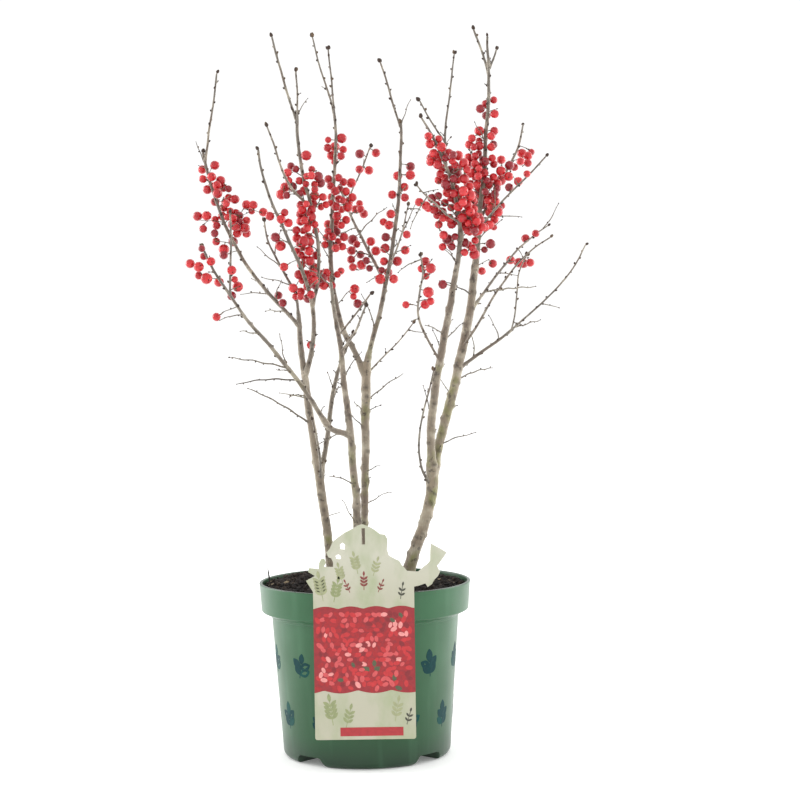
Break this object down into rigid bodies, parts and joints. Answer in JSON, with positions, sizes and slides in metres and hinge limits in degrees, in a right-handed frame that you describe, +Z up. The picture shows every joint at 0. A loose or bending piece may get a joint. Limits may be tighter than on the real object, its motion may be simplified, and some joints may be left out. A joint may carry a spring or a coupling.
{
  "type": "potted winterberry",
  "caption": "Bare winterberry shrub with clusters of red berries, in a green plastic nursery pot with a die-cut card label hooked over the rim.",
  "frame": {"origin": "middle of the pot's flat underside", "axes": "+Z up through the plant, -Y towards the label, +X to the right in the picture"},
  "size_m": [0.3537, 0.2393, 0.6575],
  "materials": {
    "pot_plastic": "satin",
    "potting_soil": "matte",
    "label_print": "satin",
    "label_back": "matte",
    "stem_bark": "matte",
    "bough_bark": "matte"
  },
  "bodies": {
    "root": {"pot": "pot_plastic", "soil": "potting_soil", "label_card": "label_print", "label_tongue": "label_back", "back_shoot": "bough_bark", "far_right_bough": "bough_bark", "far_right_elbow": "bough_bark", "far_right_shoot": "bough_bark", "front_shoot": "bough_bark", "front_stem": "stem_bark", "front_stem_shoot": "bough_bark", "front_stem_twig": "bough_bark", "high_back_shoot": "bough_bark", "high_right_shoot": "bough_bark", "leader_left_tip": "bough_bark", "leader_right_tip": "bough_bark", "leader_tip": "bough_bark", "left_bough": "stem_bark", "left_front_bough": "bough_bark", "left_inner_shoot": "bough_bark", "left_leader": "bough_bark", "left_stem": "stem_bark", "low_front_shoot": "bough_bark", "low_left_bough": "bough_bark", "low_left_elbow": "stem_bark", "low_left_shoot": "bough_bark", "middle_back_bough": "bough_bark", "middle_back_shoot": "bough_bark", "middle_front_shoot": "bough_bark", "middle_leader": "stem_bark", "middle_left_bough": "bough_bark", "middle_left_tip": "bough_bark", "middle_low_shoot": "bough_bark", "middle_side_tip": "bough_bark", "middle_stem": "stem_bark", "middle_tip": "bough_bark", "right_back_bough": "stem_bark", "right_cluster_shoot": "bough_bark", "right_fan_back": "bough_bark", "right_fan_front": "bough_bark", "right_front_bough": "stem_bark", "right_front_tip": "bough_bark", "right_inner_shoot": "bough_bark", "right_leader": "bough_bark", "right_low_shoot": "bough_bark", "right_spire": "bough_bark", "right_spire_side": "bough_bark", "right_trunk": "stem_bark", "tall_bough": "bough_bark", "tall_side_tip": "bough_bark", "tall_tip": "bough_bark"}
  },
  "joints": []
}
